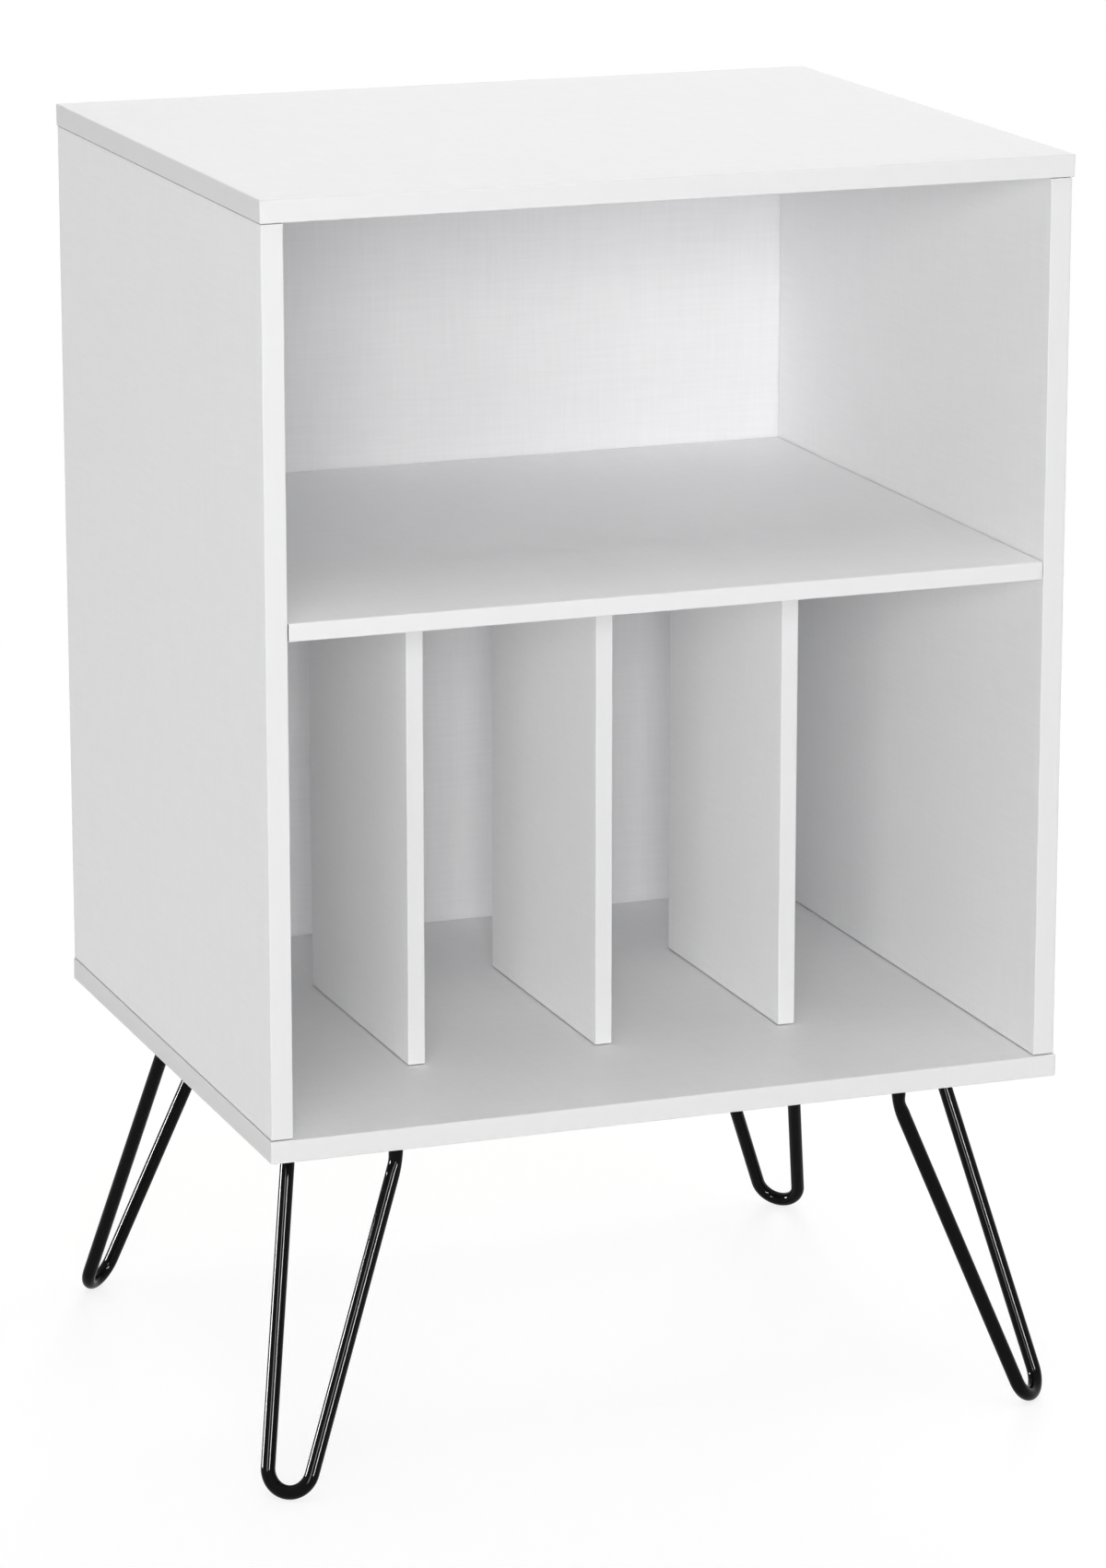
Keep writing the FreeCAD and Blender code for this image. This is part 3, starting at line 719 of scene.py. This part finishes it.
def corners():
    """The name, place and turn of each leg."""
    sizes = bpy.context.scene.stand_sizes
    for end_name, end in ENDS.items():
        for side_name, side in SIDES.items():
            across = side * (panel_high.x - sizes.leg_inset_x)
            along = end * (-panel_low.y - sizes.leg_inset_y)
            yield end_name + "_" + side_name, Vector((across, along, 0)), math.atan2(end, side)


def copy_to_corners(pattern, suffix, node_suffix, slot_name):
    """Sets a copy of a leg's piece at each corner, in place of its frame node, and deletes the pattern."""
    for corner, place, turn in corners():
        piece = copy_of(pattern, corner + suffix, place, turn)
        settle(piece, slot_name, corner + node_suffix)
        stray = max(
            max(abs(a - b) for a, b in zip(made, wanted))
            for made, wanted in zip(box_of(piece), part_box(corner + node_suffix)))
        if stray > STRAY:
            raise RuntimeError(f"{piece.name} strays from its frame node by {stray:.4f} m")
    bpy.data.objects.remove(pattern)


def ring_step(move, scale, centre):
    """Extrudes the open end of a tube by a move, then scales the new ring about a centre."""
    bpy.ops.mesh.extrude_region_move(TRANSFORM_OT_translate={"value": move})
    bpy.ops.transform.resize(value=(scale, scale, 1), center_override=centre)


def weld_bead(end, radius):
    """Models a weld bead down from the plate, ending in a ring of the rod's own radius."""
    sizes = bpy.context.scene.stand_sizes
    reach, height = radius + sizes.weld, end.z
    for drop, bulge in WELD_STEPS:
        height -= drop * sizes.weld
        wanted = radius + bulge * sizes.weld
        ring_step((0, 0, -drop * sizes.weld), wanted / reach, (end.x, end.y, height))
        reach = wanted


def is_ripple(vertex):
    """Whether a vertex of a rod lies on the crest of a ripple in its weld bead."""
    sizes = bpy.context.scene.stand_sizes
    above_bead_end = vertex.co.z - (plate_low.z - sizes.weld)
    around_rod = math.atan2(abs(vertex.co.y) - sizes.rod_spacing / 2, vertex.co.x)
    facet = round(around_rod / math.tau * sizes.rod_sides)
    in_bead = RIPPLE_ROOM < above_bead_end / sizes.weld < 1 - RIPPLE_ROOM
    return in_bead and facet % RIPPLE_FACETS == 0


def hairpin_half(name):
    """Half of a hairpin, up to its middle plane: weld, marked knee, straight run and half of the toe."""
    sizes = bpy.context.scene.stand_sizes
    radius, half = sizes.rod / 2, sizes.rod_spacing / 2
    knee_height = plate_high.z - sizes.knee_drop
    slant = Vector((sizes.splay, 0, radius - knee_height))
    reach = slant.length - sizes.toe_radius
    down = slant.normalized()
    lean_in = math.acos(sizes.toe_radius / math.hypot(half, reach)) - math.atan2(reach, half)
    toe_centre = UP * knee_height + down * reach
    toe_start = toe_centre + (REARWARD * math.cos(lean_in) + down * math.sin(lean_in)) * sizes.toe_radius
    knee = Vector((0, half, knee_height))
    along = (toe_start - knee).normalized()
    turn = along.angle(-UP)
    tangent = sizes.knee_radius * math.tan(turn / 2)
    knee_centre = knee + (UP + along).normalized() * (sizes.knee_radius / math.cos(turn / 2))
    end = Vector((0, half, plate_low.z))

    bpy.ops.object.select_all(action="DESELECT")
    bpy.ops.mesh.primitive_circle_add(vertices=sizes.rod_sides, radius=radius + sizes.weld, location=end)
    bpy.ops.object.transform_apply(location=True, rotation=True, scale=True)
    piece = bpy.context.object
    piece.name = name
    bpy.ops.object.mode_set(mode="EDIT")
    pick("EDGE", lambda edge: True)
    weld_bead(end, radius)
    bead_end = end - UP * sizes.weld
    bpy.ops.mesh.extrude_region_move(TRANSFORM_OT_translate={"value": knee + UP * tangent - bead_end})
    bpy.ops.mesh.spin(
        steps=KNEE_STEPS, angle=-turn, center=knee_centre, axis=(-UP).cross(along).normalized())
    bpy.ops.mesh.extrude_region_move(TRANSFORM_OT_translate={"value": toe_start - knee - along * tangent})
    bpy.ops.mesh.spin(
        steps=TOE_STEPS, angle=lean_in - math.pi / 2, center=toe_centre,
        axis=REARWARD.cross(down).normalized())
    into_rod = (knee - knee_centre).normalized()
    inner_side = knee_centre + into_rod * (sizes.knee_radius - radius)
    pick("VERT", lambda vertex: (vertex.co - inner_side).length < sizes.knee_mark_reach * MARK_TIP)
    bpy.ops.transform.translate(
        value=into_rod * sizes.knee_mark, use_proportional_edit=True,
        proportional_size=sizes.knee_mark_reach)
    bpy.ops.object.mode_set(mode="OBJECT")
    return piece


class STAND_OT_rods(bpy.types.Operator):
    """Builds the four hairpin rods, each bent from one round bar"""

    bl_idname = "stand.rods"
    bl_label = "Hairpin Rods"

    def execute(self, context):
        pattern = hairpin_half("hairpin_pattern")
        apply_modifier(pattern, "MIRROR", use_axis=(False, True, False), merge_threshold=MIRROR_MERGE)
        bpy.ops.object.mode_set(mode="EDIT")
        pick("EDGE", lambda edge: edge.is_boundary)
        bpy.ops.mesh.edge_face_add()
        bpy.ops.mesh.select_all(action="SELECT")
        bpy.ops.mesh.remove_doubles(threshold=MERGE)
        bpy.ops.mesh.normals_make_consistent(inside=False)
        pick("VERT", is_ripple)
        bpy.ops.transform.shrink_fatten(value=context.scene.stand_sizes.weld_ripple)
        bpy.ops.object.mode_set(mode="OBJECT")
        pattern.data.materials.append(black_coat())
        smooth(pattern, LEG_SMOOTH)
        copy_to_corners(pattern, "_hairpin", "_leg_rod", "black_coat")
        return {"FINISHED"}


class STAND_OT_plates(bpy.types.Operator):
    """Builds the four leg plates, wide under the rod's ends and narrow towards the middle"""

    bl_idname = "stand.plates"
    bl_label = "Leg Plates"

    def execute(self, context):
        sizes = context.scene.stand_sizes
        weld = sizes.rod / 2 + sizes.weld + sizes.plate_margin
        head = sizes.screw_head / 2 + sizes.plate_margin
        wide, narrow = sizes.rod_spacing / 2 + weld, sizes.inner_screws / 2 + head
        inner = -sizes.screw_rows - head
        bpy.ops.object.select_all(action="DESELECT")
        bpy.ops.mesh.primitive_plane_add(size=1, location=(0, 0, plate_low.z))
        pattern = bpy.context.object
        pattern.name = "plate_pattern"
        pattern.scale = (2 * weld, 2 * wide, 1)
        bpy.ops.object.transform_apply(location=True, rotation=True, scale=True)
        bpy.ops.object.mode_set(mode="EDIT")
        pick("EDGE", lambda edge: all(vertex.co.x < 0 for vertex in edge.verts))
        bpy.ops.mesh.extrude_region_move(TRANSFORM_OT_translate={"value": (inner + weld, 0, 0)})
        bpy.ops.transform.resize(value=(1, narrow / wide, 1), center_override=(inner, 0, plate_low.z))
        bpy.ops.mesh.select_all(action="SELECT")
        bpy.ops.mesh.dissolve_limited(angle_limit=math.radians(IN_PLANE))
        pick("FACE", lambda face: True)
        bpy.ops.mesh.extrude_region_move(
            TRANSFORM_OT_translate={"value": (0, 0, plate_high.z - plate_low.z)})
        pick("EDGE", lambda edge: abs((edge.verts[1].co - edge.verts[0].co).normalized().z) > FACING)
        bpy.ops.mesh.bevel(
            offset=sizes.plate_corner, offset_type="OFFSET", segments=CORNER_SEGMENTS, affect="EDGES")
        pick("EDGE", lambda edge: abs(edge.calc_face_angle(0)) > math.radians(RIM_ANGLE))
        bpy.ops.mesh.bevel(offset=sizes.plate_rim, segments=RIM_SEGMENTS, affect="EDGES")
        bpy.ops.mesh.select_all(action="SELECT")
        bpy.ops.mesh.normals_make_consistent(inside=False)
        bpy.ops.object.mode_set(mode="OBJECT")
        pattern.data.materials.append(black_coat())
        smooth(pattern, LEG_SMOOTH)
        copy_to_corners(pattern, "_mounting_plate", "_leg_plate", "black_coat")
        return {"FINISHED"}


# Fasteners, which keep their frame nodes


def dress(material, *node_names):
    """Gives frame nodes a finish."""
    for node_name in node_names:
        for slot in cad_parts[node_name].material_slots:
            slot.material = material


class STAND_OT_screws(bpy.types.Operator):
    """Finishes the screws, cam bolts and nails in zinc plate"""

    bl_idname = "stand.screws"
    bl_label = "Screws and Nails"

    def execute(self, context):
        dress(zinc_plate(), "leg_screws", "side_screws", "divider_screws", "top_cam_bolts",
              "shelf_cam_bolts", "back_nails")
        return {"FINISHED"}


class STAND_OT_cams(bpy.types.Operator):
    """Finishes the cams in cast zinc"""

    bl_idname = "stand.cams"
    bl_label = "Cams"

    def execute(self, context):
        dress(cast_zinc(), "top_cam_locks", "shelf_cam_locks")
        return {"FINISHED"}


class STAND_OT_dowels(bpy.types.Operator):
    """Finishes the dowels in beech"""

    bl_idname = "stand.dowels"
    bl_label = "Dowels"

    def execute(self, context):
        dress(beech(), "top_dowels", "bottom_dowels", "shelf_dowels", "divider_dowels")
        return {"FINISHED"}


# Stage

STAGE_MIDDLE = Vector((0, 0, 0.6))
SENSOR = 36            # millimetres across the camera's picture
FLOOR_SIZE = 60
FLOOR_PALE = (0.75, 0.75, 0.75, 1)  # floor's colour as it lights the stand
FLOOR_SHADED = (0.3, 0.3, 0.3, 1)   # part of its looks that takes the stand's shadow
FLOOR_GLOW = 0.77                   # and the part that stays bright
FLOOR_FADE = (0.9, 2.4)             # metres out where the floor turns into plain white
# Soft lights and fills don't show in gloss; sheens show only in the boards' gloss, streaks in the legs'
# Each has degrees left of straight in front, degrees up, metres away, its width and its height
SOFT_LIGHTS = {
    "overhead": (0, 82, 3, 2.6, 2.6),
    "main": (20, 10, 8, 2.4, 2.4),
    "left_key": (37, 9, 8, 1.8, 2.6),
    "left_side": (100, 12, 3.6, 1, 1.2),
    "right_side": (-100, 12, 3.6, 1, 1.2),
    "rear": (-157, 19, 4.35, 1.6, 1.6),
}
# Fills pass through all but the floor and reach only the boards named for them
FILLS = {
    "shelf_fill": (60, 40, 4, 2, 2),
    "divider_fill": (75, 0, 4, 2, 2),
}
FILLED = {
    "shelf_fill": ["shelf_board"],
    "divider_fill": [name + "_divider_board" for name in DIVIDERS],
}
SHEENS = {
    "right_sheen": (-3, 10, 4.55, 1.1, 2.4),
    "left_sheen": (35, 10, 4.55, 2.4, 2.4),
    "side_sheen": (113, -2, 3.6, 0.9, 0.85),
}
STREAKS = {
    "right_streak": (-3, 10, 4.55, 0.45, 2.4),
    "left_streak": (35, 10, 4.55, 0.6, 2.4),
    "side_streak": (113, -2, 3.6, 0.45, 0.85),
}


def seen(tree):
    """A value that is 1 for what the camera sees, directly or in gloss, and 0 for light."""
    ray = node(tree, "ShaderNodeLightPath").outputs
    mirrored = maths(tree, "MAXIMUM", ray["Is Glossy Ray"], ray["Is Transmission Ray"])
    return maths(tree, "MAXIMUM", ray["Is Camera Ray"], mirrored)


def mixed(tree, factor, first, second):
    """A mix of two shaders by a factor."""
    mix = node(tree, "ShaderNodeMixShader")
    tree.links.new(factor, mix.inputs["Fac"])
    tree.links.new(first, mix.inputs[1])
    tree.links.new(second, mix.inputs[2])
    return mix.outputs["Shader"]


def floor_finish():
    """A pale floor that looks white, keeps the stand's shadow and fades into the white room."""
    material = bpy.data.materials.new("pale_floor")
    material.use_nodes = True
    tree = material.node_tree
    tree.nodes.remove(tree.nodes["Principled BSDF"])
    pale = node(tree, "ShaderNodeBsdfDiffuse", Color=FLOOR_PALE)
    shaded = node(tree, "ShaderNodeBsdfDiffuse", Color=FLOOR_SHADED)
    glow = node(tree, "ShaderNodeEmission", Strength=FLOOR_GLOW)
    near = node(tree, "ShaderNodeAddShader")
    tree.links.new(shaded.outputs["BSDF"], near.inputs[0])
    tree.links.new(glow.outputs["Emission"], near.inputs[1])
    far = node(tree, "ShaderNodeEmission", Strength=1)
    distance = node(tree, "ShaderNodeVectorMath", {"operation": "LENGTH"})
    tree.links.new(node(tree, "ShaderNodeTexCoord").outputs["Object"], distance.inputs[0])
    fade = node(tree, "ShaderNodeMapRange", {"interpolation_type": "SMOOTHSTEP"})
    fade.inputs["From Min"].default_value, fade.inputs["From Max"].default_value = FLOOR_FADE
    tree.links.new(distance.outputs["Value"], fade.inputs["Value"])
    look = mixed(tree, fade.outputs["Result"], near.outputs["Shader"], far.outputs["Emission"])
    both = mixed(tree, seen(tree), pale.outputs["BSDF"], look)
    tree.links.new(both, tree.nodes["Material Output"].inputs["Surface"])
    return material


def white_room(strength):
    """A world that lights softly and looks white."""
    world = bpy.data.worlds.new("white_room")
    world.use_nodes = True
    tree = world.node_tree
    soft = tree.nodes["Background"]
    soft.inputs["Color"].default_value = (1, 1, 1, 1)
    soft.inputs["Strength"].default_value = strength
    white = node(tree, "ShaderNodeBackground", Color=(1, 1, 1, 1), Strength=1)
    both = mixed(tree, seen(tree), soft.outputs["Background"], white.outputs["Background"])
    tree.links.new(both, tree.nodes["World Output"].inputs["Surface"])
    return world


def around(azimuth, elevation, distance):
    """A place round the stand, and the turn of something there that faces the stand's middle."""
    aside, up = math.radians(azimuth), math.radians(elevation)
    outward = Vector((-math.sin(aside) * math.cos(up), -math.cos(aside) * math.cos(up), math.sin(up)))
    return STAGE_MIDDLE + outward * distance, outward.to_track_quat("Z", "Y").to_euler()


def rectangle_light(name, azimuth, elevation, distance, width, height, watts):
    """A rectangular light that faces the stand."""
    place, turn = around(azimuth, elevation, distance)
    bpy.ops.object.select_all(action="DESELECT")
    bpy.ops.object.light_add(type="AREA", location=place, rotation=turn)
    lamp = bpy.context.object
    lamp.name = name
    lamp.data.shape = "RECTANGLE"
    lamp.data.size, lamp.data.size_y = width, height
    lamp.data.energy = watts
    return lamp


def light_set(name, state, pieces):
    """A collection of pieces, which a light includes or excludes."""
    chosen = bpy.data.collections.new(name)
    for piece in pieces:
        chosen.objects.link(bpy.data.objects[piece])
    for member in chosen.collection_objects:
        member.light_linking.link_state = state
    return chosen


class STAND_OT_stage(bpy.types.Operator):
    """Sets the floor, the white room, the lights and the camera"""

    bl_idname = "stand.stage"
    bl_label = "Stage"

    def execute(self, context):
        scene, stage = context.scene, context.scene.stand_stage
        scene.view_settings.view_transform = "Standard"
        bpy.ops.object.select_all(action="DESELECT")
        bpy.ops.mesh.primitive_plane_add(size=FLOOR_SIZE, location=(0, 0, 0))
        floor = bpy.context.object
        floor.name = "floor"
        floor.data.materials.append(floor_finish())
        scene.world = white_room(stage.daylight)
        for name, light in SOFT_LIGHTS.items():
            rectangle_light(name, *light, getattr(stage, name)).visible_glossy = False
        blockers = light_set("fill_blockers", "INCLUDE", [floor.name])
        for name, light in FILLS.items():
            lamp = rectangle_light(name, *light, getattr(stage, name))
            lamp.visible_glossy = False
            lamp.light_linking.receiver_collection = light_set(name + "_boards", "INCLUDE", FILLED[name])
            lamp.light_linking.blocker_collection = blockers
        legs = [corner[0] + suffix for corner in corners() for suffix in ("_hairpin", "_mounting_plate")]
        not_legs = light_set("all_but_legs", "EXCLUDE", legs)
        only_legs = light_set("legs", "INCLUDE", legs)
        for lights, lit in ((SHEENS, not_legs), (STREAKS, only_legs)):
            for name, light in lights.items():
                lamp = rectangle_light(name, *light, getattr(stage, name))
                lamp.visible_diffuse = False
                lamp.light_linking.receiver_collection = lit
        ahead = Vector((
            math.sin(stage.heading) * math.cos(stage.pitch),
            math.cos(stage.heading) * math.cos(stage.pitch),
            -math.sin(stage.pitch)))
        turn = ahead.to_track_quat("-Z", "Y").to_euler()
        bpy.ops.object.camera_add(location=stage.camera, rotation=turn)
        camera = bpy.context.object
        camera.data.lens = stage.lens
        camera.data.sensor_width = SENSOR
        scene.camera = camera
        return {"FINISHED"}


class STAND_PT_build(bpy.types.Panel):
    """Lists the steps and settings in the sidebar"""

    bl_idname = "STAND_PT_build"
    bl_label = "Record Player Stand"
    bl_space_type = "VIEW_3D"
    bl_region_type = "UI"
    bl_category = "Stand"

    def draw(self, context):
        for step in STEPS:
            self.layout.operator(step.bl_idname)
        scene = context.scene
        for settings in (scene.stand_sizes, scene.stand_finishes, scene.stand_stage):
            box = self.layout.box()
            for name in type(settings).__annotations__:
                box.prop(settings, name)


STEPS = (
    STAND_OT_panels, STAND_OT_sides, STAND_OT_shelf, STAND_OT_dividers, STAND_OT_back, STAND_OT_rods,
    STAND_OT_plates, STAND_OT_screws, STAND_OT_cams, STAND_OT_dowels, STAND_OT_stage,
)
CLASSES = (StandSizes, StandFinishes, StandStage, *STEPS, STAND_PT_build)


def register():
    """Registers the classes and adds their settings to the scene."""
    for made in CLASSES:
        bpy.utils.register_class(made)
    bpy.types.Scene.stand_sizes = PointerProperty(type=StandSizes)
    bpy.types.Scene.stand_finishes = PointerProperty(type=StandFinishes)
    bpy.types.Scene.stand_stage = PointerProperty(type=StandStage)


def unregister():
    """Takes the settings off the scene and unregisters the classes."""
    del bpy.types.Scene.stand_stage
    del bpy.types.Scene.stand_finishes
    del bpy.types.Scene.stand_sizes
    for made in reversed(CLASSES):
        bpy.utils.unregister_class(made)


def main():
    """Builds the stand."""
    register()
    bpy.ops.stand.panels()
    bpy.ops.stand.sides()
    bpy.ops.stand.shelf()
    bpy.ops.stand.dividers()
    bpy.ops.stand.back()
    bpy.ops.stand.rods()
    bpy.ops.stand.plates()
    bpy.ops.stand.screws()
    bpy.ops.stand.cams()
    bpy.ops.stand.dowels()
    bpy.ops.stand.stage()
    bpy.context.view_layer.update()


if __name__ == "__main__":
    main()
